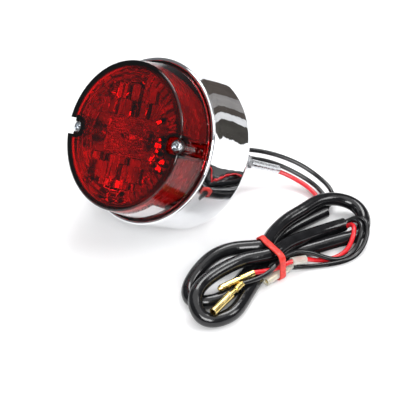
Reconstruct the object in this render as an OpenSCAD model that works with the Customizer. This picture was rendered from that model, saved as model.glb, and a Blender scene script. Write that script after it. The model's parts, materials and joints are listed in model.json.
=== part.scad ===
// Round motorcycle tail and stop lamp: chromed cup housing, screwed-on red lens
// with a clear number-plate window, bayonet bulb, two mounting studs, and a
// sleeved three-wire lead folded into a tied hank.
//
// The lamp parts are drawn along the lamp's own axis: +Z out through the lens,
// z = 0 in the plane of the housing's rim. lamp() then lays them down as the
// lamp rests, leaning back on its rear edge and its lower stud.

/* [Housing] */
// Outside diameter of the rolled rim
rim_d = 96; // [92:1:104]
// Outside diameter of the cup's straight wall
body_d = 94.6; // [91:0.2:102]
// Depth of the cup, from the rim plane to its back
cup_depth = 37; // [36:0.5:44]
// Outside radius of the cup's rear shoulder
shoulder_r = 5; // [4:0.5:5]
// Thickness of the pressed sheet
sheet_t = 1.2; // [1:0.1:1.4]

/* [Lens] */
// Height of the lens face above the rim plane
lens_h = 22; // [20:0.5:26]
// Diameter of the lens face
lens_face_d = 84.8; // [83.5:0.1:85.5]
// Diameter of the lens wall where it meets its flange
lens_foot_d = 89.4; // [89:0.1:89.8]
// Thickness of the lens face
lens_t = 3; // [2.5:0.1:3.5]
// Distance between the two lens screws, and between the two studs
screw_spread = 74; // [72:0.5:74]
// Half angle of the clear number-plate window in the wall
window_half_angle = 38; // [25:1:50]

/* [Bulb] */
// Diameter of the bulb's glass globe
globe_d = 19; // [18:0.5:20]
// Diameter of the bayonet base
base_d = 15; // [15:0.1:15.2]
// How far the bulb pushes in against its spring
push_travel = 2.5; // [2:0.1:2.6]

/* [Mounting] */
// Diameter of the two mounting studs
stud_d = 5; // [5:0.5:6]
// Length of each stud outside the housing
stud_out = 42; // [30:1:42]

/* [Wiring] */
// Outside diameter of each wire
wire_d = 2.7; // [2.3:0.1:2.8]
// Outside diameter of the loom's vinyl sleeve
loom_d = 8; // [7:0.5:8]

/* [Stance] */
// How far the lens faces above the horizontal
lean = 36; // [30:1:36]
// Turn of the lamp about its own axis, which puts one stud below the other
self_roll = 18; // [0:1:18]

/* [Hidden] */
$fn = 96;
e = 0.01;

// Housing
body_r = body_d / 2;
rim_r = rim_d / 2;
corner_r = body_r - shoulder_r;          // centre radius of the shoulder
corner_z = -(cup_depth - shoulder_r);
back_in = -cup_depth + sheet_t;
bead_r = 1.2;                            // half thickness of the rolled rim
seat_z = -3.2;                           // inner bead that carries the reflector
// Lens
flange_r = 46;
face_r = lens_face_d / 2;
foot_r = lens_foot_d / 2;
face_in = lens_h - lens_t;
edge_r = 1.5;                            // rounding of the face's edge
screw_x = screw_spread / 2;
pocket_z = 16.2;                         // floor of the screw pockets
pocket_r = 4.7;
window_z = [5, 15];
// Studs
stud_end = -cup_depth - stud_out;
stud_r = stud_d / 2;
stud_chamfer = 0.6;
root_r = stud_r - 0.4;                    // bottom of the thread, where the nuts sit
thread_from = -cup_depth - 10.6;          // the stud stands free behind this
hex_r = 4.62;                            // 8 mm across the flats
// Socket and bulb
shell_r = 8.55;
shell_in_r = 7.75;
shell_back = -33;
spring_seat = -32.2;
disc_z = [-26.4, -25.0];
pin_z = [-15, -18];                      // the two pins sit at different heights
spring_turns = 3.5;
spring_wire_r = 0.35;
spring_r = 6.2;
// Grommet
nose_end = -cup_depth - 8;
core_r = 1.56;                           // radius of the ring of three wires
wire_r = wire_d / 2;

// How the lamp rests: its rear shoulder touches z = 0
lamp_h = -corner_z * sin(lean) + corner_r * cos(lean) + shoulder_r;
front_y = (face_r - edge_r) * sin(lean) + (lens_h - edge_r) * cos(lean) + edge_r;
back_y = screw_x * sin(self_roll) * sin(lean) - stud_end * cos(lean)
         + (stud_r - stud_chamfer) * sin(lean);
lamp_y = (front_y - back_y) / 2;

// Routes of the free wires, from the grommet to the sleeve and from the sleeve
// to the connectors
lead_black_1_route = [[-0.5, 22.5, 32.8], [0, 29, 28], [2.5, 40, 24.5], [9, 53, 22.5],
    [20, 65.5, 19.2], [34, 75.5, 14], [47, 80, 8.8], [57, 79.5, 6.2], [64, 74.5, 5.2], [67.5, 66, 5.5]];
lead_black_2_route = [[1.5, 21.4, 31.3], [2, 28, 26.5], [5, 38.5, 22], [12, 51, 19],
    [22.5, 63, 15.2], [36, 72, 9.6], [48, 75.8, 5.4], [56.5, 75, 3], [63, 71, 2.8], [66.5, 65, 4]];
lead_red_route = [[-1, 20.9, 30.7], [-0.5, 27.5, 25.5], [2.5, 38, 19.5], [10, 50.5, 15.2],
    [21, 61.5, 11.2], [34, 69, 7.4], [46, 72.3, 4.2], [55, 71.5, 2], [62, 67.5, 1.6], [67, 62, 2.6]];
tail_black_1_route = [[84, 62, 5.6], [86, 66, 7.6], [89.5, 69, 9.6], [94.5, 69.5, 10],
    [99.5, 66, 8], [103.5, 59, 4], [105, 51, 1.6], [104, 43, 1.4], [100.5, 35, 1.4],
    [96, 27.5, 1.5], [91.6, 20, 2.2], [88, 12, 4.1]];
tail_black_2_route = [[82.6, 62, 3.4], [85.5, 64.5, 6.4], [89.5, 66.2, 9.4], [94.5, 65.8, 9.9],
    [99, 61, 7.6], [101.8, 54, 3.2], [102, 46, 1.5], [100, 39, 2.2], [96, 33, 5], [91.4, 27.5, 8.4],
    [87.6, 20, 11.2], [86.6, 12, 12.2], [87, 7, 12.2], [88.4, 1, 11.6], [88.9, -4, 10.6], [87.6, -11, 9.8], [85, -20, 9.8]];
tail_red_route = [[85.4, 62, 3.4], [88.5, 63, 7], [92.8, 61.5, 9.6], [96.8, 57, 8],
    [99.4, 50, 3.4], [99, 43.5, 1.5], [97, 37, 1.4], [94.2, 30.5, 2.6], [91.8, 22.5, 6.8],
    [90, 13.5, 9.2], [88.6, 7, 8.8], [87.2, 1, 8.9], [85.4, -4.5, 9.7], [83, -9.5, 10.2]];

// Connectors: each runs between two points
slid_sleeve_at = [[91.8, 22.5, 6.8], [90, 13.5, 9.2]];
clear_sleeve_at = [[87.9, 15, 4.1], [88.4, -5, 4.1]];
black_bullet_at = [[88, 12, 4.1], [88.4, -4, 4.1]];
red_bullet_at = [[83, -9.5, 10.2], [79.5, -32.5, 9.8]];
receptacle_at = [[85, -20, 9.8], [91, -47, 10.2]];
tie_at = [79.8, 7, 0];

// ---- Helpers ----

module lamp() {
    translate([0, lamp_y, lamp_h]) rotate([90 - lean, 0, 0]) rotate([0, 0, self_roll]) children();
}

module ring(r1, r2, z1, z2) {
    translate([0, 0, z1]) difference() {
        cylinder(r = r2, h = z2 - z1);
        translate([0, 0, -1]) cylinder(r = r1, h = z2 - z1 + 2);
    }
}

module both_sides() {
    for (s = [-1, 1]) translate([s * screw_x, 0, 0]) children();
}

// Turns +Z to run from a towards b
module along(a, b) {
    d = b - a;
    translate(a) rotate([0, acos(d[2] / norm(d)), atan2(d[1], d[0])]) children();
}

// Catmull-Rom curve through the points p, with n steps on each span
function spline(p, n) = let (m = len(p) - 1) concat(
    [for (i = [0 : m - 1], k = [0 : n - 1]) let (
        t = k / n,
        a = p[max(i - 1, 0)], b = p[i], c = p[i + 1], d = p[min(i + 2, m)]
    ) 0.5 * ((2 * b) + (c - a) * t + (2 * a - 5 * b + 4 * c - d) * t * t
             + (3 * b - a - 3 * c + d) * t * t * t)],
    [p[m]]);

function unit(v) = v / norm(v);

// A round tube of n sides swept along the points p, which never run straight up
module tube(p, r, n = 8) {
    m = len(p);
    pts = [for (i = [0 : m - 1]) let (
        t = unit(p[min(i + 1, m - 1)] - p[max(i - 1, 0)]),
        u = unit(cross(t, [0, 0, 1])), v = cross(u, t)
    ) for (k = [0 : n - 1]) let (a = 360 * (k + 0.5) / n) p[i] + r * (cos(a) * u + sin(a) * v)];
    sides = [for (i = [0 : m - 2], k = [0 : n - 1]) let (j = (k + 1) % n)
        [i * n + k, i * n + j, (i + 1) * n + j, (i + 1) * n + k]];
    ends = [[for (k = [n - 1 : -1 : 0]) k], [for (k = [0 : n - 1]) (m - 1) * n + k]];
    polyhedron(points = pts, faces = concat(sides, ends), convexity = 6);
}

// ---- Housing and fixings ----

// Deep-drawn cup with a rolled rim, and an inner bead that the reflector sits on
module housing() {
    color("silver") lamp() difference() {
        rotate_extrude() difference() {
            union() {
                translate([0, -cup_depth]) square([corner_r, shoulder_r]);
                translate([corner_r, corner_z]) circle(r = shoulder_r);
                translate([0, corner_z]) square([body_r, -corner_z]);
                translate([rim_r - bead_r, 0]) circle(r = bead_r);
            }
            translate([-e, back_in]) square([corner_r + e, shoulder_r]);
            translate([corner_r, corner_z]) circle(r = shoulder_r - sheet_t);
            difference() {
                translate([-e, corner_z]) square([body_r - sheet_t + e, -corner_z + 3]);
                translate([body_r - sheet_t, seat_z - 0.9]) circle(r = 0.9);
            }
            translate([-20, -cup_depth - 5]) square([20, cup_depth + 10]);
        }
        both_sides() translate([0, 0, -cup_depth - 1]) cylinder(r = stud_r + 0.15, h = 4);
        translate([0, 0, -cup_depth - 1]) cylinder(r = 6, h = 4);
        translate([0, -17, -cup_depth - 1]) cylinder(r = 1.55, h = 4);
    }
}

// Foam and rubber ring under the lens flange
module rim_gasket() {
    color([0.12, 0.12, 0.12]) lamp() ring(43, 45.9, -2.4, -1);
}

// Hexagonal post inside, threaded for the lens screw, with the mounting stud behind
module stud_posts() {
    color("gainsboro") lamp() both_sides() difference() {
        union() {
            translate([0, 0, back_in]) cylinder(r = hex_r, h = -1 - back_in, $fn = 6);
            translate([0, 0, thread_from - 1]) cylinder(r = root_r, h = back_in - thread_from + 2);
            translate([0, 0, stud_end + stud_chamfer]) cylinder(r = stud_r, h = thread_from - stud_end - stud_chamfer);
            translate([0, 0, stud_end]) cylinder(r1 = stud_r - stud_chamfer, r2 = stud_r, h = stud_chamfer);
        }
        translate([0, 0, -15]) cylinder(r = 2.05, h = 20);
    }
}

module stud_washers() {
    color("lightgray") lamp() both_sides() ring(stud_r + 0.15, 5, -cup_depth - 1, -cup_depth);
}

// Split spring washers
module stud_lock_washers() {
    color("gray") lamp() both_sides() difference() {
        ring(stud_r + 0.1, 4.4, -cup_depth - 2.2, -cup_depth - 1);
        rotate([0, 0, 50]) translate([3.5, 0, -cup_depth - 1.6]) rotate([25, 0, 0]) cube([5, 0.5, 6], center = true);
    }
}

module hex_nut(z) {
    translate([0, 0, z]) difference() {
        intersection() {
            cylinder(r = hex_r, h = 4, $fn = 6);
            union() {
                cylinder(r1 = 4.1, r2 = 4.9, h = 0.8);
                translate([0, 0, 0.8]) cylinder(r = 4.9, h = 2.4);
                translate([0, 0, 3.2]) cylinder(r1 = 4.9, r2 = 4.1, h = 0.8);
            }
        }
        translate([0, 0, -1]) cylinder(r = root_r + 0.05, h = 6);
    }
}

// Nuts that hold the posts to the housing
module stud_nuts() {
    color("silver") lamp() both_sides() hex_nut(-cup_depth - 6.2);
}

// Nuts for the bracket, run up against the first pair
module mounting_nuts() {
    color("silver") lamp() both_sides() rotate([0, 0, 20]) hex_nut(-cup_depth - 10.4);
}

// ---- Lens ----

module lens_outline() {
    polygon([[0, -1], [flange_r, -1], [flange_r, 0.8], [foot_r, 0.8],
             [face_r, lens_h - edge_r], [0, lens_h - edge_r]]);
    translate([face_r - edge_r, lens_h - edge_r]) circle(r = edge_r);
    square([face_r - edge_r, lens_h]);
}

module lens_hollow() {
    polygon([[-e, -2], [foot_r - 2.6, -2], [foot_r - 2.6, 0.8], [face_r - 2.6, face_in], [-e, face_in]]);
}

module window_sector(r1, r2, z1, z2, a) {
    rotate([0, 0, -90 - a]) rotate_extrude(angle = 2 * a) translate([r1, z1]) square([r2 - r1, z2 - z1]);
}

// Concentric prism rings on one side of the inner face
module prism_rings(a0, a1) {
    for (r = [26, 29.5, 33]) rotate([0, 0, a0]) rotate_extrude(angle = a1 - a0)
        polygon([[r - 1.6, face_in + 0.2], [r + 1.6, face_in + 0.2], [r + 1.2, face_in - 1.6]]);
}

module lens() {
    color([0.75, 0.02, 0.04, 0.75]) lamp() difference() {
        union() {
            rotate_extrude() intersection() {
                difference() { lens_outline(); lens_hollow(); }
                translate([0, -5]) square([60, 60]);
            }
            intersection() {
                rotate_extrude() intersection() { lens_outline(); translate([0, -5]) square([60, 60]); }
                both_sides() translate([0, 0, -1]) cylinder(r = 6.4, h = lens_h + 1);
            }
            // upright flutes above and below the middle
            for (s = [-1, 1], x = [-16 : 4 : 16])
                translate([x, s * 20, face_in]) rotate([90, 0, 0]) cylinder(r = 1.5, h = 16, center = true, $fn = 24);
            prism_rings(-38, -12);
            prism_rings(12, 60);
            prism_rings(120, 168);
            prism_rings(192, 218);
            // two stippled pads in the middle
            for (s = [-1, 1]) translate([-13, s * 5.6 - 4.5, face_in - 0.6]) cube([26, 9, 1]);
        }
        for (s = [-1, 1]) {
            translate([s * screw_x, 0, pocket_z]) cylinder(r = pocket_r, h = lens_h);
            translate([s * (screw_x + 10), 0, pocket_z + 10]) cube([20, 2 * pocket_r, 20], center = true);
            translate([s * (41.2 + 10), 0, 2 + 15]) cube([20, 2 * pocket_r, 30], center = true);
            translate([s * screw_x, 0, -5]) cylinder(r = 2.2, h = 30);
        }
        window_sector(30, 60, window_z[0], window_z[1], window_half_angle);
    }
}

// Curved clear pane that lights the number plate, ribbed inside
module plate_window() {
    color([0.95, 0.95, 0.95, 0.6]) lamp() {
        intersection() {
            rotate_extrude() intersection() {
                difference() { lens_outline(); lens_hollow(); }
                translate([30, -5]) square([60, 60]);
            }
            window_sector(30, 60, window_z[0], window_z[1], window_half_angle);
        }
        for (a = [-window_half_angle + 4 : 4 : window_half_angle - 4])
            rotate([0, 0, -90 + a]) translate([40.9, 0, window_z[0] + 0.5])
                cylinder(r = 0.8, h = window_z[1] - window_z[0] - 1, $fn = 16);
    }
}

// Cross-recessed pan-head screws
module lens_screws() {
    color("silver") lamp() both_sides() difference() {
        union() {
            translate([0, 0, -12]) cylinder(r = 2, h = pocket_z + 0.8 + 12 + e);
            rotate_extrude() intersection() {
                union() {
                    translate([0, pocket_z + 0.8]) square([3.5, 1.2]);
                    translate([0, pocket_z + 2]) square([2.1, 1.4]);
                    translate([2.1, pocket_z + 2]) circle(r = 1.4);
                }
                translate([0, pocket_z + 0.8]) square([5, 5]);
            }
        }
        for (a = [35, 125]) rotate([0, 0, a]) translate([0, 0, pocket_z + 3]) cube([4.2, 0.9, 2.4], center = true);
    }
}

module screw_washers() {
    color("dimgray") lamp() both_sides() ring(2.1, 4.1, pocket_z, pocket_z + 0.8);
}

// ---- Reflector and socket ----

function dish_z(r) = -23.7 + (r - 18) * (r - 18) * (seat_z + 23.7) / ((43 - 18) * (43 - 18));

module reflector() {
    steps = 8;
    radii = [for (i = [0 : steps]) 18 + i * (43 - 18) / steps];
    color([0.93, 0.93, 0.9]) lamp() difference() {
        rotate_extrude() polygon(concat(
            [[shell_r, -23.7], [18, -23.7]], [for (r = radii) [r, dish_z(r) + (r > 18 ? 0.8 : 0)]],
            [[45.9, seat_z + 0.8], [45.9, seat_z]],
            [for (i = [steps : -1 : 0]) [radii[i], dish_z(radii[i])] - [0, i == 0 ? 0.8 : 0]],
            [[shell_r, -24.5]]));
        both_sides() translate([0, 0, -40]) cylinder(r = 5.2, h = 60);
        for (a = [90, 210, 330]) rotate([0, 0, a]) translate([12, 0, -30]) cylinder(r = 1.25, h = 10);
    }
}

// Bayonet shell with two J-shaped slots at different depths
module socket_shell() {
    color([0.8, 0.78, 0.72]) lamp() difference() {
        union() {
            ring(shell_in_r, shell_r, shell_back, -10);
            ring(4.5, shell_in_r + 0.1, shell_back, spring_seat);
            ring(shell_r - 0.1, 15, -25.3, -24.5);
        }
        for (k = [0, 1]) rotate([0, 0, 180 * k]) {
            translate([8, 0, pin_z[k] - push_travel / 2]) cube([3, 2.4, push_travel + 2.4], center = true);
            translate([0, 0, pin_z[k] - push_travel - 1.1]) rotate_extrude(angle = 25) translate([7, 0]) square([3, 2.2]);
            rotate([0, 0, 25]) translate([8, 0, 0]) translate([0, 0, (pin_z[k] - push_travel - 1.3 - 9) / 2])
                cube([3, 2.4, -9 - (pin_z[k] - push_travel - 1.3)], center = true);
        }
        for (a = [90, 210, 330]) rotate([0, 0, a]) translate([12, 0, -30]) cylinder(r = 1.25, h = 10);
    }
}

module socket_rivets() {
    color("goldenrod") lamp() for (a = [90, 210, 330]) rotate([0, 0, a]) translate([12, 0, 0]) {
        translate([0, 0, -26.1]) cylinder(r = 1.25, h = 3);
        translate([0, 0, -23.7]) cylinder(r1 = 2.1, r2 = 1.5, h = 0.8);
        translate([0, 0, -26.1]) cylinder(r1 = 1.5, r2 = 2, h = 0.8);
    }
}

module contact_disc() {
    color([0.45, 0.25, 0.12]) lamp() difference() {
        translate([0, 0, disc_z[0]]) cylinder(r = 7.4, h = disc_z[1] - disc_z[0]);
        for (s = [-1, 1]) translate([0, s * 3, -30]) cylinder(r = 1.2, h = 10);
    }
}

module contact_buttons() {
    color("goldenrod") lamp() for (s = [-1, 1]) translate([0, s * 3, 0]) {
        translate([0, 0, disc_z[0] - 0.8]) cylinder(r = 1.8, h = 0.8);
        translate([0, 0, disc_z[0]]) cylinder(r = 1.2, h = disc_z[1] - disc_z[0]);
        translate([0, 0, disc_z[1]]) cylinder(r1 = 2.2, r2 = 1.6, h = 0.8);
    }
}

// Wire coil that pushes the contacts and the bulb forward
module contact_spring() {
    h0 = spring_seat + spring_wire_r + 0.02;
    h1 = disc_z[0] - spring_wire_r - 0.02;
    n = 20;
    rings = spring_turns * n;
    pts = [for (i = [0 : rings]) let (a = 360 * i / n, z = h0 + (h1 - h0) * i / rings)
        for (k = [0 : 5]) let (q = 60 * k, r = spring_r + spring_wire_r * cos(q))
            [r * cos(a), r * sin(a), z + spring_wire_r * sin(q)]];
    sides = [for (i = [0 : rings - 1], k = [0 : 5]) let (j = (k + 1) % 6)
        [i * 6 + k, i * 6 + j, (i + 1) * 6 + j, (i + 1) * 6 + k]];
    color("lightsteelblue") lamp() polyhedron(points = pts, faces = concat(sides,
        [[for (k = [5 : -1 : 0]) k], [for (k = [0 : 5]) rings * 6 + k]]), convexity = 8);
}

// ---- Bulb ----

module bulb_glass() {
    r = globe_d / 2;
    color([0.95, 0.97, 1, 0.5]) lamp() rotate_extrude() intersection() {
        difference() {
            union() {
                translate([0, 4]) circle(r = r);
                translate([0, -10]) square([6.4, 10]);
            }
            translate([0, 4]) circle(r = r - 0.7);
            translate([-e, -9.3]) square([5.7, 9]);
        }
        translate([0, -20]) square([20, 60]);
    }
}

module bulb_base() {
    color("lightgray") lamp() {
        difference() {
            translate([0, 0, -22]) cylinder(r = base_d / 2, h = 15);
            translate([0, 0, -10]) cylinder(r = 6.45, h = 5);
        }
        for (k = [0, 1]) rotate([0, 0, 180 * k]) translate([7, 0, pin_z[k]]) rotate([0, 90, 0]) cylinder(r = 1, h = 1.6);
    }
}

module bulb_insulator() {
    color([0.1, 0.1, 0.12]) lamp() difference() {
        translate([0, 0, -23.2]) cylinder(r1 = 5.6, r2 = 6.6, h = 1.2);
        for (s = [-1, 1]) translate([0, s * 3, -24]) cylinder(r = 1.5, h = 1.6);
    }
}

module bulb_contacts() {
    color("silver") lamp() for (s = [-1, 1]) translate([0, s * 3, -24.2]) cylinder(r = 1.5, h = 1.8);
}

// Glass pinch that carries the filament supports
module bulb_stem() {
    color([0.9, 0.93, 0.95, 0.6]) lamp() {
        translate([0, 0, -9.3]) cylinder(r1 = 4.4, r2 = 2.4, h = 4);
        translate([0, 0, -4.8]) cube([6, 2, 3], center = true);
    }
}

// Two coils at different heights on their support wires
module bulb_filaments() {
    color([0.6, 0.58, 0.55]) lamp() for (f = [[-1, 4.6, 3.2], [1.4, 2.2, 2.6]]) {
        translate([-f[2], f[0], f[1]]) rotate([0, 90, 0]) cylinder(r = 0.45, h = 2 * f[2]);
        for (s = [-1, 1]) {
            translate([s * f[2], f[0], -4.6]) cylinder(r = 0.25, h = f[1] + 4.6);
            translate([0, f[0], -4.4]) rotate([0, s * 90, 0]) cylinder(r = 0.25, h = f[2]);
        }
        translate([-0.25, min(f[0], 0.6), -4.65]) cube([0.5, abs(f[0]) - 0.4, 0.5]);
    }
}

// ---- Wiring ----

module core_places() {
    for (a = [90, 210, 330]) rotate([0, 0, a]) translate([core_r, 0, 0]) children();
}

// Rubber bush with one bore for each wire
module wire_grommet() {
    color([0.1, 0.1, 0.1]) lamp() difference() {
        union() {
            translate([0, 0, back_in]) cylinder(r1 = 8, r2 = 7, h = 1.6);
            translate([0, 0, -cup_depth]) cylinder(r = 6, h = sheet_t);
            translate([0, 0, -cup_depth - 1.6]) cylinder(r1 = 7, r2 = 8, h = 1.6);
            translate([0, 0, nose_end]) cylinder(r1 = 3.9, r2 = 5, h = 6.4);
        }
        core_places() translate([0, 0, -60]) cylinder(r = wire_r, h = 40);
    }
}

// Wires between the grommet, the contact plate and the earth tag
module inner_leads() {
    z0 = back_in + 1.6;
    color([0.15, 0.15, 0.15]) lamp() {
        tube(spline([[0, core_r, nose_end], [0, core_r, z0], [0, 2, -33], [0, 2.6, -30.5], [0, 3, -27.5]], 3), 1.2);
        tube(spline([[1.35, -0.78, nose_end], [1.35, -0.78, z0], [1.2, -1.4, -33], [0.5, -2.4, -30.5], [0, -3, -27.5]], 3), 1.2);
        tube(spline([[-1.35, -0.78, nose_end], [-1.35, -0.78, z0 - 0.2], [-1.6, -2.2, -34.4], [-3, -6.5, -34.5], [-1.5, -11, -34.5], [0, -13.6, -34.5]], 3), 1.2);
    }
}

module earth_tag() {
    color("goldenrod") lamp() difference() {
        union() {
            translate([0, -17, back_in]) cylinder(r = 3.2, h = 0.8);
            translate([-1.3, -14.8, back_in]) cube([2.6, 3.6, 0.8]);
        }
        translate([0, -17, -40]) cylinder(r = 1.6, h = 10);
    }
}

module earth_rivet() {
    color("silver") lamp() translate([0, -17, 0]) {
        translate([0, 0, -cup_depth]) cylinder(r = 1.5, h = 3);
        translate([0, 0, back_in + 0.8]) cylinder(r1 = 2.6, r2 = 1.8, h = 1);
        translate([0, 0, -cup_depth - 0.9]) cylinder(r1 = 1.8, r2 = 2.6, h = 0.9);
    }
}

module lead_black_1() { color([0.08, 0.08, 0.08]) tube(spline(lead_black_1_route, 1), wire_r); }
module lead_black_2() { color([0.08, 0.08, 0.08]) tube(spline(lead_black_2_route, 1), wire_r); }
module lead_red() { color([0.8, 0.05, 0.08]) tube(spline(lead_red_route, 1), wire_r); }
module tail_black_1() { color([0.08, 0.08, 0.08]) tube(spline(tail_black_1_route, 1), wire_r); }
module tail_black_2() { color([0.08, 0.08, 0.08]) tube(spline(tail_black_2_route, 1), wire_r); }
module tail_red() { color([0.8, 0.05, 0.08]) tube(spline(tail_red_route, 1), wire_r); }

// Outer shape of the sleeved loom, folded twice to the left and once to the right
module loom_hank() {
    color([0.1, 0.1, 0.1]) linear_extrude(2 * loom_d) {
        hull() {
            translate([75, -31]) circle(r = 20);
            translate([85, -37]) circle(r = 20);
            translate([77, 7]) circle(r = 8.2);
        }
        hull() {
            translate([80.5, 63]) circle(r = 20);
            translate([77, 7]) circle(r = 8.2);
        }
    }
}

module tie_corners() {
    for (p = [[-8.2, 4], [8.2, 4], [-8.2, 14.6], [7.6, 14.6]]) translate(p) children();
}

// Rubber band round the middle of the hank
module hank_tie() {
    color([0.85, 0.1, 0.08]) translate(tie_at) rotate([0, 0, -8]) rotate([90, 0, 0])
        linear_extrude(4.2, center = true) difference() {
            hull() tie_corners() circle(r = 4, $fn = 32);
            hull() tie_corners() circle(r = 2.8, $fn = 32);
        }
}

// Clear vinyl tube on one black wire, over its bullet
module clear_sleeve() {
    a = clear_sleeve_at[0];
    b = clear_sleeve_at[1];
    color([0.95, 0.95, 0.92, 0.6]) along(a, b) ring(2, 2.5, 0, norm(b - a));
}

// Clear vinyl tube slid back along the red wire
module slid_sleeve() {
    a = slid_sleeve_at[0];
    b = slid_sleeve_at[1];
    color([0.95, 0.95, 0.92, 0.6]) along(a, b) ring(1.5, 2.4, 0, norm(b - a));
}

// Male bullet terminal: crimp, neck and round-nosed pin
module bullet(a, b) {
    n = norm(b - a);
    along(a, b) difference() {
        union() {
            cylinder(r = 1.9, h = 0.36 * n);
            cylinder(r = 1.45, h = 0.46 * n);
            translate([0, 0, 0.46 * n]) cylinder(r = 1.95, h = 0.54 * n - 1.5);
            translate([0, 0, n - 1.5]) cylinder(r1 = 1.95, r2 = 1.2, h = 1.5);
        }
        translate([0, 0, -1]) cylinder(r = 0.9, h = 5);
    }
}

module black_bullet() { color("goldenrod") bullet(black_bullet_at[0], black_bullet_at[1]); }
module red_bullet() { color("goldenrod") bullet(red_bullet_at[0], red_bullet_at[1]); }

// Female terminal: crimp, narrow neck and open barrel
module black_receptacle() {
    a = receptacle_at[0];
    b = receptacle_at[1];
    n = norm(b - a);
    color("goldenrod") along(a, b) difference() {
        union() {
            cylinder(r = 1.7, h = 6);
            cylinder(r = 1.15, h = 12);
            translate([0, 0, 11]) cylinder(r = 2.3, h = n - 11);
        }
        translate([0, 0, 14]) cylinder(r = 1.75, h = n);
        translate([0, 0, -1]) cylinder(r = 0.8, h = 3);
    }
}

housing();
rim_gasket();
lens();
plate_window();
lens_screws();
screw_washers();
stud_posts();
reflector();
socket_shell();
socket_rivets();
contact_disc();
contact_buttons();
contact_spring();
bulb_glass();
bulb_base();
bulb_insulator();
bulb_contacts();
bulb_stem();
bulb_filaments();
stud_washers();
stud_lock_washers();
stud_nuts();
mounting_nuts();
wire_grommet();
inner_leads();
earth_tag();
earth_rivet();
lead_black_1();
lead_black_2();
lead_red();
loom_hank();
hank_tie();
tail_black_1();
tail_black_2();
tail_red();
clear_sleeve();
slid_sleeve();
black_bullet();
red_bullet();
black_receptacle();
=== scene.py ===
"""Round chromed motorcycle tail light with a red lens and a tied lead, in the CAD frame."""
import math

import bpy
import bmesh
from mathutils import Matrix, Vector, noise
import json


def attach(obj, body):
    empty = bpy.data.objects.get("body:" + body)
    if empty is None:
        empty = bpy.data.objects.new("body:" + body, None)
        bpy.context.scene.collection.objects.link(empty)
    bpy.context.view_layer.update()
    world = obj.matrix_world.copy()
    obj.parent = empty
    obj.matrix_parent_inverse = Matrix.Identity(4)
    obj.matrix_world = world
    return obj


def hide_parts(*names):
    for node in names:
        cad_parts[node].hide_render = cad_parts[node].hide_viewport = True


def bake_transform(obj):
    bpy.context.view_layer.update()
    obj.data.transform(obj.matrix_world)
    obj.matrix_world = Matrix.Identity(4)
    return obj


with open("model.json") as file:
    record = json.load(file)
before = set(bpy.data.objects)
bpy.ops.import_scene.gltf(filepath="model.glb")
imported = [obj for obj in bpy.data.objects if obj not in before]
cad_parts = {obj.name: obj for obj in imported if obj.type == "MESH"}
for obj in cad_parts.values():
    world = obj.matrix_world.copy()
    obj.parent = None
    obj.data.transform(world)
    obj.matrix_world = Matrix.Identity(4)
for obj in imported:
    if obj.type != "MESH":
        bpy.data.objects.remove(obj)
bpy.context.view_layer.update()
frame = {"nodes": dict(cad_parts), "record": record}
MM = 0.001

# ---------------------------------------------------------------- frame of the lamp
LEAN, ROLL = math.radians(36), math.radians(18)
LAMP_Y, LAMP_Z = -14.8122, 58.0305       # middle of the rim, mm; the cup and a stud rest on z = 0
LAMP = (Matrix.Translation((0, LAMP_Y * MM, LAMP_Z * MM))
        @ Matrix.Rotation(math.pi / 2 - LEAN, 4, "X") @ Matrix.Rotation(ROLL, 4, "Z"))

# Lamp dimensions, mm
BODY_R, SHEET, DEPTH, SHOULDER = 47.3, 1.2, 37.0, 5.0
LENS_TOP, FACE_IN, FACE_R, FOOT_R, FLANGE_R, EDGE_R, WALL = 22.0, 19.0, 42.4, 44.7, 46.0, 1.5, 2.6
SCREW_X, POCKET_R, POCKET_Z = 37.0, 4.7, 16.2
BOSS_R, BOSS_TOP = 6.4, 20.5
WINDOW_Z, WINDOW_SIDE, WINDOW_HALF = (5, 15), -90, 38      # height, and its middle and half width in degrees


# ---------------------------------------------------------------- camera
VIEW_BEARING, VIEW_HEIGHT, VIEW_ROLL, VIEW_ANGLE = 48.65, 39.54, -0.5, 18.575       # degrees
VIEW_MIDDLE, VIEW_AWAY = Vector((24.7, 2.8, 20.0)), 0.7122                         # mm, m


def make_camera():
    cam = bpy.data.objects.new("camera", bpy.data.cameras.new("camera"))
    bpy.context.scene.collection.objects.link(cam)
    az, el, roll = (math.radians(a) for a in (VIEW_BEARING, VIEW_HEIGHT, VIEW_ROLL))
    back = Vector((math.sin(az) * math.cos(el), -math.cos(az) * math.cos(el), math.sin(el)))
    side = Vector((math.cos(az), math.sin(az), 0))
    up = back.cross(side)
    right = side * math.cos(roll) + up * math.sin(roll)
    up = back.cross(right)
    turn = Matrix((right, up, back)).transposed().to_4x4()
    cam.matrix_world = Matrix.Translation(VIEW_MIDDLE * MM + back * VIEW_AWAY) @ turn
    cam.data.sensor_fit = "HORIZONTAL"
    cam.data.angle = math.radians(VIEW_ANGLE)
    cam.data.clip_start, cam.data.clip_end = 0.02, 20
    bpy.context.scene.camera = cam


make_camera()


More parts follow.
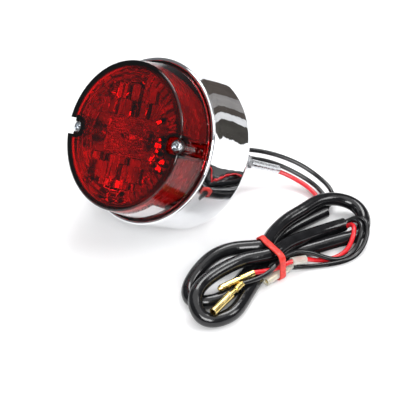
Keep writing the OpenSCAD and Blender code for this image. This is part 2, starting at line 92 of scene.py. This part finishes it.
# ---------------------------------------------------------------- materials
def surface(name, colour, second, rough, metal=0.0, scale=300.0, bump=0.0, bump_scale=900.0,
            deep=0.0001, ior=1.5, transmission=0.0, coat=0.0, absorb=None):
    """Two-tone noise surface with varying roughness and a fine bump."""
    mat = bpy.data.materials.new(name)
    mat.use_nodes = True
    nodes, links = mat.node_tree.nodes, mat.node_tree.links
    shader = nodes["Principled BSDF"]
    shader.inputs["Metallic"].default_value = metal
    shader.inputs["IOR"].default_value = ior
    shader.inputs["Transmission Weight"].default_value = transmission
    shader.inputs["Coat Weight"].default_value = coat
    shader.inputs["Coat Roughness"].default_value = 0.05
    place = nodes.new("ShaderNodeTexCoord")
    cloud = nodes.new("ShaderNodeTexNoise")
    cloud.inputs["Scale"].default_value = scale
    cloud.inputs["Detail"].default_value = 5
    links.new(place.outputs["Object"], cloud.inputs["Vector"])
    blend = nodes.new("ShaderNodeValToRGB")
    blend.color_ramp.elements[0].position, blend.color_ramp.elements[1].position = 0.35, 0.65
    blend.color_ramp.elements[0].color = (*colour, 1)
    blend.color_ramp.elements[1].color = (*second, 1)
    links.new(cloud.outputs["Fac"], blend.inputs["Fac"])
    links.new(blend.outputs["Color"], shader.inputs["Base Color"])
    spread = nodes.new("ShaderNodeMapRange")
    spread.inputs["From Min"].default_value, spread.inputs["From Max"].default_value = 0.3, 0.7
    spread.inputs["To Min"].default_value, spread.inputs["To Max"].default_value = rough
    links.new(cloud.outputs["Fac"], spread.inputs["Value"])
    links.new(spread.outputs["Result"], shader.inputs["Roughness"])
    if absorb:
        depth = nodes.new("ShaderNodeVolumeAbsorption")
        depth.inputs["Color"].default_value = (*absorb[0], 1)
        depth.inputs["Density"].default_value = absorb[1]
        links.new(depth.outputs["Volume"], nodes["Material Output"].inputs["Volume"])
    if bump:
        grain = nodes.new("ShaderNodeTexNoise")
        grain.inputs["Scale"].default_value = bump_scale
        grain.inputs["Detail"].default_value = 3
        links.new(place.outputs["Object"], grain.inputs["Vector"])
        push = nodes.new("ShaderNodeBump")
        push.inputs["Strength"].default_value = bump
        push.inputs["Distance"].default_value = deep
        links.new(grain.outputs["Fac"], push.inputs["Height"])
        links.new(push.outputs["Normal"], shader.inputs["Normal"])
    return mat


MAT = {
    "chrome": surface("chrome", (0.80, 0.81, 0.83), (0.88, 0.89, 0.90), (0.015, 0.06), metal=1, scale=70,
                      bump=0.25, bump_scale=55, deep=0.0006),
    "black_rubber": surface("black_rubber", (0.012, 0.012, 0.012), (0.03, 0.03, 0.03), (0.45, 0.7),
                            scale=500, bump=0.4, bump_scale=1800),
    "red_lens": surface("red_lens", (1.0, 0.42, 0.42), (0.94, 0.32, 0.34), (0.0, 0.025), scale=90,
                        ior=1.49, transmission=1, bump=0.05, bump_scale=120, deep=0.0003,
                        absorb=((0.87, 0.015, 0.02), 700.0)),
    "clear_lens": surface("clear_lens", (0.95, 0.95, 0.95), (0.88, 0.88, 0.90), (0.05, 0.16), scale=400,
                          ior=1.49, transmission=0.5, bump=0.1, bump_scale=700),
    "zinc_steel": surface("zinc_steel", (0.60, 0.62, 0.65), (0.74, 0.76, 0.78), (0.18, 0.34), metal=1,
                          scale=420, bump=0.2, bump_scale=1500),
    "dark_washer": surface("dark_washer", (0.02, 0.012, 0.012), (0.05, 0.03, 0.03), (0.4, 0.65), scale=700,
                           bump=0.3, bump_scale=2000),
    "reflector_metal": surface("reflector_metal", (0.84, 0.84, 0.82), (0.92, 0.92, 0.90), (0.18, 0.32),
                               metal=0.6, scale=160, bump=0.2, bump_scale=400),
    "socket_steel": surface("socket_steel", (0.52, 0.50, 0.44), (0.68, 0.66, 0.60), (0.2, 0.4), metal=1,
                            scale=350, bump=0.2, bump_scale=1200),
    "brass": surface("brass", (0.74, 0.53, 0.16), (0.90, 0.72, 0.32), (0.14, 0.3), metal=1, scale=380,
                     bump=0.25, bump_scale=1400),
    "fibre_board": surface("fibre_board", (0.20, 0.09, 0.04), (0.34, 0.18, 0.08), (0.5, 0.75), scale=900,
                           bump=0.5, bump_scale=2500),
    "spring_steel": surface("spring_steel", (0.42, 0.43, 0.45), (0.62, 0.63, 0.65), (0.2, 0.35), metal=1,
                            scale=600, bump=0.2, bump_scale=1600),
    "bulb_glass": surface("bulb_glass", (0.96, 0.97, 0.98), (0.92, 0.94, 0.96), (0.0, 0.03), scale=200,
                          ior=1.45, transmission=1),
    "bulb_base_metal": surface("bulb_base_metal", (0.62, 0.55, 0.38), (0.78, 0.72, 0.55), (0.2, 0.38),
                               metal=1, scale=450, bump=0.2, bump_scale=1300),
    "black_glass": surface("black_glass", (0.008, 0.008, 0.012), (0.02, 0.02, 0.03), (0.08, 0.2), scale=500,
                           bump=0.1, bump_scale=900),
    "solder": surface("solder", (0.55, 0.55, 0.56), (0.72, 0.72, 0.73), (0.3, 0.5), metal=1, scale=900,
                      bump=0.5, bump_scale=2000),
    "filament": surface("filament", (0.26, 0.25, 0.24), (0.42, 0.41, 0.40), (0.3, 0.5), metal=1, scale=1200,
                        bump=0.3, bump_scale=4000),
    "black_vinyl": surface("black_vinyl", (0.004, 0.004, 0.0045), (0.009, 0.009, 0.01), (0.1, 0.2),
                           scale=260, bump=0.15, bump_scale=500, deep=0.0002),
    "red_vinyl": surface("red_vinyl", (0.72, 0.012, 0.02), (0.58, 0.008, 0.014), (0.2, 0.34), scale=260,
                         bump=0.15, bump_scale=500, deep=0.0002, coat=0.3),
    "black_sleeve": surface("black_sleeve", (0.003, 0.003, 0.0035), (0.007, 0.007, 0.008), (0.10, 0.2),
                            scale=150, bump=0.3, bump_scale=160, deep=0.0006),
    "red_band": surface("red_band", (0.72, 0.035, 0.02), (0.50, 0.015, 0.01), (0.3, 0.5), scale=500,
                        bump=0.5, bump_scale=1100, deep=0.0003),
    "clear_vinyl": surface("clear_vinyl", (0.93, 0.92, 0.84), (0.84, 0.83, 0.74), (0.10, 0.24), scale=300,
                           ior=1.45, transmission=0.65, bump=0.2, bump_scale=500, deep=0.0003),
}


def math_node(tree, what, a, b=None, c=None):
    node = tree.nodes.new("ShaderNodeMath")
    node.operation = what
    for slot_in, value in zip(node.inputs, (a, b, c)):
        if isinstance(value, (int, float)):
            slot_in.default_value = value
        elif value is not None:
            tree.links.new(value, slot_in)
    return node.outputs["Value"]


def paint_lens_edge_shade(mat):
    """Paints shade into the lens colour where the thick corner, the screw bosses and the flange let almost no light
    through.
    """
    tree = mat.node_tree
    nodes, links = tree.nodes, tree.links
    place = nodes.new("ShaderNodeTexCoord")
    turn = nodes.new("ShaderNodeMapping")
    back = LAMP.inverted()
    turn.inputs["Location"].default_value = back.to_translation()
    turn.inputs["Rotation"].default_value = back.to_euler("XYZ")
    links.new(place.outputs["Object"], turn.inputs["Vector"])
    split = nodes.new("ShaderNodeSeparateXYZ")
    links.new(turn.outputs["Vector"], split.inputs["Vector"])
    x, y, z = (split.outputs[k] for k in "XYZ")
    r = math_node(tree, "SQRT", math_node(tree, "ADD", math_node(tree, "MULTIPLY", x, x),
                                          math_node(tree, "MULTIPLY", y, y)))
    side = math_node(tree, "SUBTRACT", math_node(tree, "ABSOLUTE", x), SCREW_X * MM)
    near = math_node(tree, "SQRT", math_node(tree, "ADD", math_node(tree, "MULTIPLY", side, side),
                                             math_node(tree, "MULTIPLY", y, y)))

    def step(value, low, high):
        node = nodes.new("ShaderNodeMapRange")
        node.interpolation_type = "SMOOTHSTEP"
        links.new(value, node.inputs["Value"])
        node.inputs["From Min"].default_value, node.inputs["From Max"].default_value = low * MM, high * MM
        return node.outputs["Result"]

    # Painted shade mask: the outer corner and round the screw bosses at the top of the lens, and the flange at its
    # foot.
    rim = math_node(tree, "MAXIMUM", step(r, 37.0, 39.2), math_node(tree, "SUBTRACT", 1.0, step(near, 6.0, 7.4)))
    top = math_node(tree, "MULTIPLY", rim, step(z, 20.2, 21.2))
    dark = math_node(tree, "MAXIMUM", top, math_node(tree, "SUBTRACT", 1.0, step(z, 0.7, 1.6)))
    shader = nodes["Principled BSDF"]
    base = shader.inputs["Base Color"].links[0].from_socket
    # Painted shade: the masked places take a near-black red in place of the lens colour.
    mix = nodes.new("ShaderNodeMix")
    mix.data_type = "RGBA"
    links.new(dark, mix.inputs[0])
    links.new(base, mix.inputs[6])
    mix.inputs[7].default_value = (0.045, 0.004, 0.006, 1)
    links.new(mix.outputs[2], shader.inputs["Base Color"])


# Painted shade on the red lens's thick edges, bosses and flange.
paint_lens_edge_shade(MAT["red_lens"])


# ---------------------------------------------------------------- mesh helpers
def finish_piece(obj, slot, replaces=(), sharp=32.0):
    obj.data.materials.clear()
    obj.data.materials.append(MAT[slot])
    if isinstance(obj.data, bpy.types.Mesh):
        obj.data.shade_smooth()
        if sharp:
            obj.data.set_sharp_from_angle(angle=math.radians(sharp))
    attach(obj, "lamp")
    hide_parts(*replaces)
    return obj


def mesh_object(name, verts, faces, place=None):
    mesh = bpy.data.meshes.new(name)
    mesh.from_pydata([tuple(v) for v in verts], [], faces)
    if place is not None:
        mesh.transform(place)
    mesh.validate()
    bm = bmesh.new()
    bm.from_mesh(mesh)
    bmesh.ops.recalc_face_normals(bm, faces=bm.faces)
    bm.to_mesh(mesh)
    bm.free()
    obj = bpy.data.objects.new(name, mesh)
    bpy.context.scene.collection.objects.link(obj)
    return obj


def arc(cx, cz, r, a0, a1, n=10):
    return [(cx + r * math.cos(math.radians(a0 + (a1 - a0) * i / n)),
             cz + r * math.sin(math.radians(a0 + (a1 - a0) * i / n))) for i in range(n + 1)]


def lathe(outline, steps=160, a0=0.0, a1=360.0):
    """Verts and faces of a closed outline (r, z) turned about Z; r = 0 points are poles."""
    full = abs(a1 - a0) >= 359.99
    rings, verts = [], []
    count = steps if full else steps + 1
    for r, z in outline:
        if r < 1e-6:
            rings.append([len(verts)] * count)
            verts.append((0.0, 0.0, z * MM))
        else:
            ring = []
            for k in range(count):
                a = math.radians(a0 + (a1 - a0) * k / steps)
                ring.append(len(verts))
                verts.append((r * math.cos(a) * MM, r * math.sin(a) * MM, z * MM))
            rings.append(ring)
    faces = []
    for i in range(len(rings)):
        one, two = rings[i], rings[(i + 1) % len(rings)]
        if one[0] == one[-1] and two[0] == two[-1]:
            continue
        for k in range(steps):
            j = (k + 1) % count
            quad = [one[k], one[j], two[j], two[k]]
            face = [v for n, v in enumerate(quad) if v not in quad[:n]]
            if len(face) > 2:
                faces.append(face)
    if not full:
        faces.append([ring[0] for ring in rings])
        faces.append([ring[-1] for ring in rings][::-1])
    return verts, faces


def join(parts):
    verts, faces = [], []
    for v, f in parts:
        base = len(verts)
        verts += list(v)
        faces += [[i + base for i in face] for face in f]
    return verts, faces


def moved(part, place):
    return [place @ Vector(v) for v in part[0]], part[1]


def both(part):
    """The part at +X' and turned round to -X'."""
    right = Matrix.Translation((SCREW_X * MM, 0, 0))
    left = Matrix.Translation((-SCREW_X * MM, 0, 0))
    return join([moved(part, right), moved(part, left)])


def smooth_line(points, step=1.5):
    """Catmull-Rom line through the points, in metres, sampled about every step mm."""
    pts = [Vector(p) * MM for p in points]
    ends = [pts[0] * 2 - pts[1]] + pts + [pts[-1] * 2 - pts[-2]]
    line = []
    for i in range(1, len(ends) - 2):
        a, b, c, d = ends[i - 1:i + 3]
        n = max(2, round((c - b).length / (step * MM)))
        t0 = 0.0
        t1 = t0 + max((b - a).length, 1e-6) ** 0.5
        t2 = t1 + max((c - b).length, 1e-6) ** 0.5
        t3 = t2 + max((d - c).length, 1e-6) ** 0.5
        for k in range(n):
            t = t1 + (t2 - t1) * k / n
            e = a.lerp(b, (t - t0) / (t1 - t0))
            f = b.lerp(c, (t - t1) / (t2 - t1))
            g = c.lerp(d, (t - t2) / (t3 - t2))
            h = e.lerp(f, (t - t0) / (t2 - t0))
            m = f.lerp(g, (t - t1) / (t3 - t1))
            line.append(h.lerp(m, (t - t1) / (t2 - t1)))
    line.append(pts[-1])
    return line


def eased(line, rounds=6):
    """Rounds small kinks off a sampled line and keeps its ends."""
    for _ in range(rounds):
        line = [line[0]] + [line[i] * 0.5 + (line[i - 1] + line[i + 1]) * 0.25
                            for i in range(1, len(line) - 1)] + [line[-1]]
    return line


def cord_curve(name, line, d):
    curve = bpy.data.curves.new(name, "CURVE")
    curve.dimensions = "3D"
    spline = curve.splines.new("POLY")
    spline.points.add(len(line) - 1)
    for point, at in zip(spline.points, line):
        point.co = (*at, 1)
    spline.use_smooth = True
    curve.bevel_depth = d / 2
    curve.bevel_resolution = 6
    curve.use_fill_caps = True
    obj = bpy.data.objects.new(name, curve)
    bpy.context.scene.collection.objects.link(obj)
    return obj


# ---------------------------------------------------------------- cords
# Routes in mm. The leads and tails repeat the CAD model's; the sleeve's route lies in its block's space.
WIRE, LOOM = 2.7 * MM, 8.0 * MM
LEADS = {
    "lead_black_1": [[-0.5, 22.5, 32.8], [0, 29, 28], [2.5, 40, 24.5], [9, 53, 22.5], [20, 65.5, 19.2],
                     [34, 75.5, 14], [47, 80, 8.8], [57, 79.5, 6.2], [64, 74.5, 5.2], [67.5, 66, 5.5]],
    "lead_black_2": [[1.5, 21.4, 31.3], [2, 28, 26.5], [5, 38.5, 22], [12, 51, 19], [22.5, 63, 15.2],
                     [36, 72, 9.6], [48, 75.8, 5.4], [56.5, 75, 3], [63, 71, 2.8], [66.5, 65, 4]],
    "lead_red": [[-1, 20.9, 30.7], [-0.5, 27.5, 25.5], [2.5, 38, 19.5], [10, 50.5, 15.2], [21, 61.5, 11.2],
                 [34, 69, 7.4], [46, 72.3, 4.2], [55, 71.5, 2], [62, 67.5, 1.6], [67, 62, 2.6]],
}
TAILS = {
    "tail_black_1": [[84, 62, 5.6], [86, 66, 7.6], [89.5, 69, 9.6], [94.5, 69.5, 10], [99.5, 66, 8],
                     [103.5, 59, 4], [105, 51, 1.6], [104, 43, 1.4], [100.5, 35, 1.4], [96, 27.5, 1.5],
                     [91.6, 20, 2.2], [88, 12, 4.1]],
    "tail_black_2": [[82.6, 62, 3.4], [85.5, 64.5, 6.4], [89.5, 66.2, 9.4], [94.5, 65.8, 9.9], [99, 61, 7.6],
                     [101.8, 54, 3.2], [102, 46, 1.5], [100, 39, 2.2], [96, 33, 5], [91.4, 27.5, 8.4],
                     [87.6, 20, 11.2], [86.6, 12, 12.2], [87, 7, 12.2], [88.4, 1, 11.6], [88.9, -4, 10.6],
                     [87.6, -11, 9.8], [85, -20, 9.8]],
    "tail_red": [[85.4, 62, 3.4], [88.5, 63, 7], [92.8, 61.5, 9.6], [96.8, 57, 8], [99.4, 50, 3.4],
                 [99, 43.5, 1.5], [97, 37, 1.4], [94.2, 30.5, 2.6], [91.8, 22.5, 6.8], [90, 13.5, 9.2],
                 [88.6, 7, 8.8], [87.2, 1, 8.9], [85.4, -4.5, 9.7], [83, -9.5, 10.2]],
}
SLEEVE = [
    [68, 64, 4], [66.5, 52, 4], [65.5, 38, 4], [67, 22, 4], [73, 7, 5.2], [75, -4, 4], [78, -14, 4],
    [81, -24, 4], [81.5, -32, 4], [78.5, -40, 4], [71, -45.5, 4], [64, -41, 5], [60, -31, 8],
    [59, -18, 11.5], [62, -6, 12], [68, 2, 12.5], [73, 8, 13.2], [68, 20, 12], [65, 34, 12], [65, 48, 12],
    [65, 62, 11.5], [70, 73, 9.5], [79, 78.5, 7], [89, 75, 5], [95.5, 63, 4], [91, 50, 4], [87, 38, 4],
    [83, 26, 4], [81.3, 15, 4.2], [81, 7, 5.2], [82, -4, 4], [85.5, -13, 4], [89.5, -22, 4], [93, -30, 4],
    [94.3, -37, 4], [92, -46, 4], [87.5, -50.5, 4.6], [80, -50, 8.5], [75, -45, 11.5],
    [72, -37, 12], [71, -24, 12], [73, -8, 12], [81, 7, 13.2], [80, 20, 12], [80, 34, 9], [81, 48, 6], [84, 63, 4.3],
]
TIE_X, TIE_Y, TIE_TURN, TIE_BEND = 79.8, 7, -8, 3.4        # mm, degrees, and the radius at its corners
BAND_HALF, BAND_THIN, BAND_EDGE = 1.45, 0.1, 0.45          # the band's section: flat with round edges


def make_tie():
    """Rubber band stretched round the middle of the hank, a little uneven."""
    centres = [(-8.2, 4.0), (8.2, 4.0), (7.6, 14.6), (-8.2, 14.6)]
    corners = []
    for (cx, cz), a0 in zip(centres, (180, 270, 0, 90)):
        corners += arc(cx, cz, TIE_BEND, a0, a0 + 90, 8)
    path = []
    for one, two in zip(corners, corners[1:] + corners[:1]):
        n = max(1, round(math.dist(one, two)))
        path += [(one[0] + (two[0] - one[0]) * k / n, one[1] + (two[1] - one[1]) * k / n) for k in range(n)]
    section = []
    for sx, sy, a0 in ((1, 1, 0), (-1, 1, 90), (-1, -1, 180), (1, -1, 270)):
        section += arc(sx * BAND_HALF, sy * BAND_THIN, BAND_EDGE, a0, a0 + 90, 3)
    place = Matrix.Translation((TIE_X * MM, TIE_Y * MM, 0)) @ Matrix.Rotation(math.radians(TIE_TURN), 4, "Z")
    verts, faces = [], []
    for i, (x, z) in enumerate(path):
        x0, z0 = path[i - 1]
        x1, z1 = path[(i + 1) % len(path)]
        run = Vector((x1 - x0, 0, z1 - z0)).normalized()
        out = Vector((run.z, 0, -run.x))
        swing = 0.35 * noise.noise(Vector((x, z, 3.0)) * 0.16)
        wide = 1 + 0.12 * noise.noise(Vector((x, z, 9.0)) * 0.22)
        for u, w in section:
            verts.append(place @ ((Vector((x, swing + u * wide, z)) + out * w) * MM))
    n, m = len(path), len(section)
    for i in range(n):
        for k in range(m):
            j, q = (i + 1) % n, (k + 1) % m
            faces.append([i * m + k, i * m + q, j * m + q, j * m + k])
    return finish_piece(mesh_object("tie_band", verts, faces), "red_band", replaces=["hank_tie"], sharp=60)


def make_wire(name, line):
    obj = finish_piece(cord_curve("wire_" + name, line, WIRE), "red_vinyl" if "red" in name else "black_vinyl",
                       replaces=[name])


def make_cords():
    band = make_tie()
    for name, route in LEADS.items():
        make_wire(name, eased(smooth_line(route), 3))
    line = eased(smooth_line(SLEEVE), 8)
    obj = finish_piece(cord_curve("loom_sleeve", line, LOOM), "black_sleeve", replaces=["loom_hank"])
    for name, route in TAILS.items():
        make_wire(name, eased(smooth_line(route, 1.0), 3))


make_cords()


# ---------------------------------------------------------------- housing
def make_housing():
    outline = ([(0, -DEPTH), (20, -DEPTH)] + arc(BODY_R - SHOULDER, -DEPTH + SHOULDER, SHOULDER, -90, 0, 14)
               + [(BODY_R, -20), (BODY_R, -8), (BODY_R, -1.4)] + arc(46.8, 0, 1.2, -62, 234, 28)
               + [(BODY_R - SHEET, -1.6)] + arc(46.1, -4.1, 0.9, 90, 270, 10)
               + [(BODY_R - SHEET, -5.2), (BODY_R - SHEET, -20)]
               + arc(BODY_R - SHOULDER, -DEPTH + SHOULDER, SHOULDER - SHEET, 0, -90, 10)
               + [(20, SHEET - DEPTH), (0, SHEET - DEPTH)])
    verts, faces = lathe(outline, 256)
    finish_piece(mesh_object("housing_shell", verts, faces, LAMP), "chrome", replaces=["housing"], sharp=40)


make_housing()


# ---------------------------------------------------------------- lens
def chance(i, j, k=0):
    """A fixed number from -1 to 1 for a cell."""
    return noise.cell(Vector((i * 1.37 + 0.5, j * 2.11 + 0.5, k * 3.7 + 0.5))) * 2 - 1


def optics(x, y):
    """Depth of the moulded prisms below the lens's inner face, mm, at a point on the face."""
    r, a = math.hypot(x, y), math.degrees(math.atan2(y, x)) % 360
    if abs(x) < 13 and 1.1 < abs(y) < 10.1:                    # stippled pads
        u, v = (x % 1.3) - 0.65, (y % 1.3) - 0.65
        return 0.7 + 0.5 * math.sqrt(max(0.0, 1 - (u * u + v * v) / 0.36))
    if abs(x) < 22 and 11.2 < abs(y) < 29.2 and r < 33:        # upright bars above and below the middle
        i, j = math.floor(x / 4.0), math.floor((y - 11.2) / 9.0)
        u, v = x - (i + 0.5) * 4.0, (y - 11.2) - (j + 0.5) * 9.0
        if chance(i, j) > -0.45:
            return max(0.0, 2.0 - abs(u + 0.5 * chance(i, j, 4)) * 0.95 + 0.08 * chance(i, j, 1) * v)
        return 1.2 + 0.3 * chance(i, j, 5) * u
    if 24 < r < 37.5:
        right = a < 75 or a > 285
        wide = 7.5 if right else 12.0
        i, j = math.floor(a / wide), math.floor((r - 24) / 6.75)
        u, v = math.radians(a - (i + 0.5) * wide) * r, r - 24 - (j + 0.5) * 6.75
        if right:                                              # radial ridges
            return max(0.0, 1.9 - abs(u) * 0.95 + 0.12 * chance(i, j, 3) * v)
        return max(0.0, 1.7 - abs(v % 3.375 - 1.69) * 0.98 + 0.1 * chance(i, j, 2) * u)   # ridged rings
    return 0.0


def cut(obj, tool, operation):
    mod = obj.modifiers.new("cut", "BOOLEAN")
    mod.operation, mod.object, mod.solver = operation, tool, "EXACT"
    graph = bpy.context.evaluated_depsgraph_get()
    mesh = bpy.data.meshes.new_from_object(obj.evaluated_get(graph), depsgraph=graph)
    obj.modifiers.clear()
    old, obj.data = obj.data, mesh
    bpy.data.meshes.remove(old)
    bpy.data.objects.remove(tool)


def slot_cutter(radius, x_from, z0, z1, out=60.0):
    """Two U-shaped cutters, round at x_from and open outwards."""
    ring = arc(x_from, 0, radius, 90, 270, 24) + [(out, -radius), (out, radius)]
    parts = []
    for s in (1, -1):
        n = len(ring)
        verts = [Vector((s * x, s * y, z)) * MM for z in (z0, z1) for x, y in ring]
        faces = [[i, (i + 1) % n, n + (i + 1) % n, n + i] for i in range(n)]
        faces += [list(range(n))[::-1], list(range(n, 2 * n))]
        parts.append((verts, faces))
    return mesh_object("cutter", *join(parts), LAMP)


def make_lens():
    steps, rings = 288, 76
    outline = ([(0, LENS_TOP), (20, LENS_TOP), (36, LENS_TOP)]
               + arc(FACE_R - EDGE_R, LENS_TOP - EDGE_R, EDGE_R, 90, 4, 8)
               + [(FOOT_R, 1.0), (FOOT_R + 0.1, 0.85), (FLANGE_R, 0.8), (FLANGE_R, -1),
                  (FOOT_R - WALL, -1), (FOOT_R - WALL, 0.8), (FACE_R - WALL + 0.25, FACE_IN - 1.6)]
               + arc(FACE_R - WALL - 1.2, FACE_IN - 1.2, 1.2, 10, 90, 4))
    inner_r = outline[-1][0]
    verts, faces = lathe(outline + [(0, FACE_IN)], steps)
    # The flat inner face is taken out, and the moulded one takes its place.
    count = len(outline) - 1
    last_ring = 1 + (count - 1) * steps
    faces = [f for f in faces if not (verts[f[0]][2] == FACE_IN * MM and all(
        abs(verts[i][2] - FACE_IN * MM) < 1e-9 for i in f) and len(f) == 3)]
    pole = len(verts) - 1
    previous = list(range(last_ring, last_ring + steps))
    for j in range(1, rings):
        r = inner_r * (1 - j / rings)
        ring = []
        for k in range(steps):
            a = 2 * math.pi * k / steps
            x, y = r * math.cos(a), r * math.sin(a)
            fade = min(1.0, max(0.0, (38.4 - r) / 1.0))
            ring.append(len(verts))
            verts.append((x * MM, y * MM, (FACE_IN - optics(x, y) * fade) * MM))
        for k in range(steps):
            q = (k + 1) % steps
            faces.append([previous[k], previous[q], ring[q], ring[k]])
        previous = ring
    for k in range(steps):
        faces.append([previous[k], previous[(k + 1) % steps], pole])
    lens = mesh_object("lens_moulding", verts, faces, LAMP)
    # Bosses for the screws, joined to the wall, then the screws' pockets and the window.
    boss = lathe([(0, 0.0), (BOSS_R, 0.0), (BOSS_R, BOSS_TOP), (0, BOSS_TOP)], 48)
    cut(lens, mesh_object("boss", *both(boss), LAMP), "UNION")
    cut(lens, slot_cutter(POCKET_R, SCREW_X, POCKET_Z, 30), "DIFFERENCE")
    cut(lens, slot_cutter(POCKET_R, 41.2 + POCKET_R, 2.0, 30), "DIFFERENCE")
    low, high = WINDOW_Z
    window = lathe([(38, low), (50, low), (50, high), (38, high)], 60,
                   WINDOW_SIDE - WINDOW_HALF, WINDOW_SIDE + WINDOW_HALF)
    cut(lens, mesh_object("window_cut", *window, LAMP), "DIFFERENCE")
    finish_piece(lens, "red_lens", replaces=["lens"], sharp=28)


make_lens()


def make_window():
    """Clear pane in the wall, with upright ribs on its inner side."""
    ribs, per = 44, 6
    steps = ribs * per
    low, high = WINDOW_Z
    heights = [low + (high - low) * i / 6 for i in range(7)]

    def wall_r(z):
        t = (z - 0.8) / (LENS_TOP - EDGE_R - 0.8)
        return FOOT_R + (FACE_R - FOOT_R) * t

    verts, faces = [], []
    for k in range(steps + 1):
        a = math.radians(WINDOW_SIDE - WINDOW_HALF + 2 * WINDOW_HALF * k / steps)
        u = (k % per) / per
        rib = 0.45 * math.sin(math.pi * u)
        for z in heights:
            for r in (wall_r(z) - 0.02, wall_r(z) - WALL - rib):
                verts.append((r * math.cos(a) * MM, r * math.sin(a) * MM, z * MM))
    h = len(heights)
    for k in range(steps):
        for i in range(h - 1):
            p, q = (k * h + i) * 2, ((k + 1) * h + i) * 2
            faces.append([p, q, q + 2, p + 2])
            faces.append([p + 1, p + 3, q + 3, q + 1])
        p, q = k * h * 2, (k + 1) * h * 2
        faces.append([p, p + 1, q + 1, q])
        p, q = (k * h + h - 1) * 2, ((k + 1) * h + h - 1) * 2
        faces.append([p, q, q + 1, p + 1])
    for k in (0, steps):
        for i in range(h - 1):
            p = (k * h + i) * 2
            faces.append([p, p + 2, p + 3, p + 1])
    finish_piece(mesh_object("window_ribbed", verts, faces, LAMP), "clear_lens", replaces=["plate_window"], sharp=50)


make_window()

slots = {part["node"]: part["material_slot"] for part in frame["record"]["subparts"]}


# ---------------------------------------------------------------- spring and leads that give
def make_flexing(node, name):
    """A copy of the node, which gives between the lamp and the contact plate, in its own material and shaded smooth.
    """
    source = frame["nodes"][node]
    mesh = source.data.copy()
    mesh.transform(source.matrix_world)
    mesh.materials.clear()
    mesh.materials.append(MAT[slots[node]])
    mesh.shade_smooth()
    mesh.set_sharp_from_angle(angle=math.radians(50))
    obj = bpy.data.objects.new(name, mesh)
    bpy.context.scene.collection.objects.link(obj)
    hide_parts(node)
    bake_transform(obj)


make_flexing("contact_spring", "spring_coil")
make_flexing("inner_leads", "inner_wires")


# ---------------------------------------------------------------- CAD nodes that stay
for node, obj in frame["nodes"].items():
    made = MAT[slots[node]]
    if obj.material_slots:
        for place in obj.material_slots:
            place.material = made
    else:
        obj.data.materials.append(made)


# ---------------------------------------------------------------- floor, cards and lights
CARD_HEIGHT, FLOOR_DROP = 0.10, 0.0004


def stage_plane(name, size, at, look, mat, cam=False):
    w, h = size
    verts = [(-w / 2, -h / 2, 0), (w / 2, -h / 2, 0), (w / 2, h / 2, 0), (-w / 2, h / 2, 0)]
    mesh = bpy.data.meshes.new(name)
    mesh.from_pydata(verts, [], [[0, 1, 2, 3]])
    obj = bpy.data.objects.new(name, mesh)
    bpy.context.scene.collection.objects.link(obj)
    obj.data.materials.append(mat)
    obj.location = at
    obj.rotation_euler = (Vector(look) - Vector(at)).to_track_quat("Z", "Y").to_euler() if look else (0, 0, 0)
    obj.visible_camera = cam
    return obj


paper = surface("paper", (0.90, 0.90, 0.905), (0.93, 0.93, 0.93), (0.5, 0.7), scale=3, bump=0.05, bump_scale=400)
stage_plane("floor", (6, 6), (0, 0, -FLOOR_DROP), None, paper, cam=True)


def area(name, size, at, look, power):
    light = bpy.data.lights.new(name, "AREA")
    light.shape, light.size, light.size_y = "RECTANGLE", size[0], size[1]
    light.energy = power
    obj = bpy.data.objects.new(name, light)
    bpy.context.scene.collection.objects.link(obj)
    obj.location = at
    obj.rotation_euler = (Vector(look) - Vector(at)).to_track_quat("-Z", "Y").to_euler()


def only_reflected(obj):
    obj.visible_diffuse = obj.visible_shadow = obj.visible_transmission = False


def card(name, width, bearing, away, colour, glow):
    """A standing card seen only in reflections; bearing is in degrees from the lamp, from -Y towards +X."""
    mat = surface("card_" + name, colour, tuple(c * 0.75 for c in colour), (0.6, 0.8), scale=25)
    shader = mat.node_tree.nodes["Principled BSDF"]
    shader.inputs["Emission Color"].default_value = (*colour, 1)
    shader.inputs["Emission Strength"].default_value = glow
    a = math.radians(bearing)
    at = Vector((math.sin(a) * away, -math.cos(a) * away, CARD_HEIGHT / 2))
    only_reflected(stage_plane("card_" + name, (width, CARD_HEIGHT), at, (0, 0, CARD_HEIGHT / 2), mat))


card("brown_left", 0.115, -161, 0.40, (0.045, 0.034, 0.028), 0.3)
card("grey", 0.095, -175.5, 0.41, (0.19, 0.18, 0.175), 0.4)
card("brown_mid", 0.045, 175, 0.42, (0.045, 0.034, 0.028), 0.25)
card("pale_strip", 0.05, 168.5, 0.43, (0.48, 0.48, 0.485), 0.6)
card("olive", 0.11, 157.5, 0.40, (0.034, 0.030, 0.024), 0.2)
dark = surface("card_floor", (0.02, 0.02, 0.02), (0.03, 0.03, 0.03), (0.5, 0.7), scale=25)
only_reflected(stage_plane("card_floor", (0.060, 0.053), (0.105, 0.0585, 0.0002), None, dark))

world = bpy.data.worlds.new("studio")
bpy.context.scene.world = world
world.use_nodes = True
world.node_tree.nodes["Background"].inputs["Color"].default_value = (0.93, 0.95, 1.0, 1)
world.node_tree.nodes["Background"].inputs["Strength"].default_value = 0.20
area("ceiling", (1.6, 1.6), (0, 0.1, 1.25), (0, 0.1, 0), 10.5)
area("overhead", (0.55, 0.4), (-0.25, 0.45, 1.05), (0.03, 0, 0), 6)
area("right_back", (0.4, 0.4), (0.75, 0.55, 0.8), (0.03, 0, 0), 4)
area("by_camera", (0.6, 0.6), (0.75, -0.75, 0.85), (0, 0, 0.05), 14)
bpy.context.scene.view_settings.view_transform = "Standard"
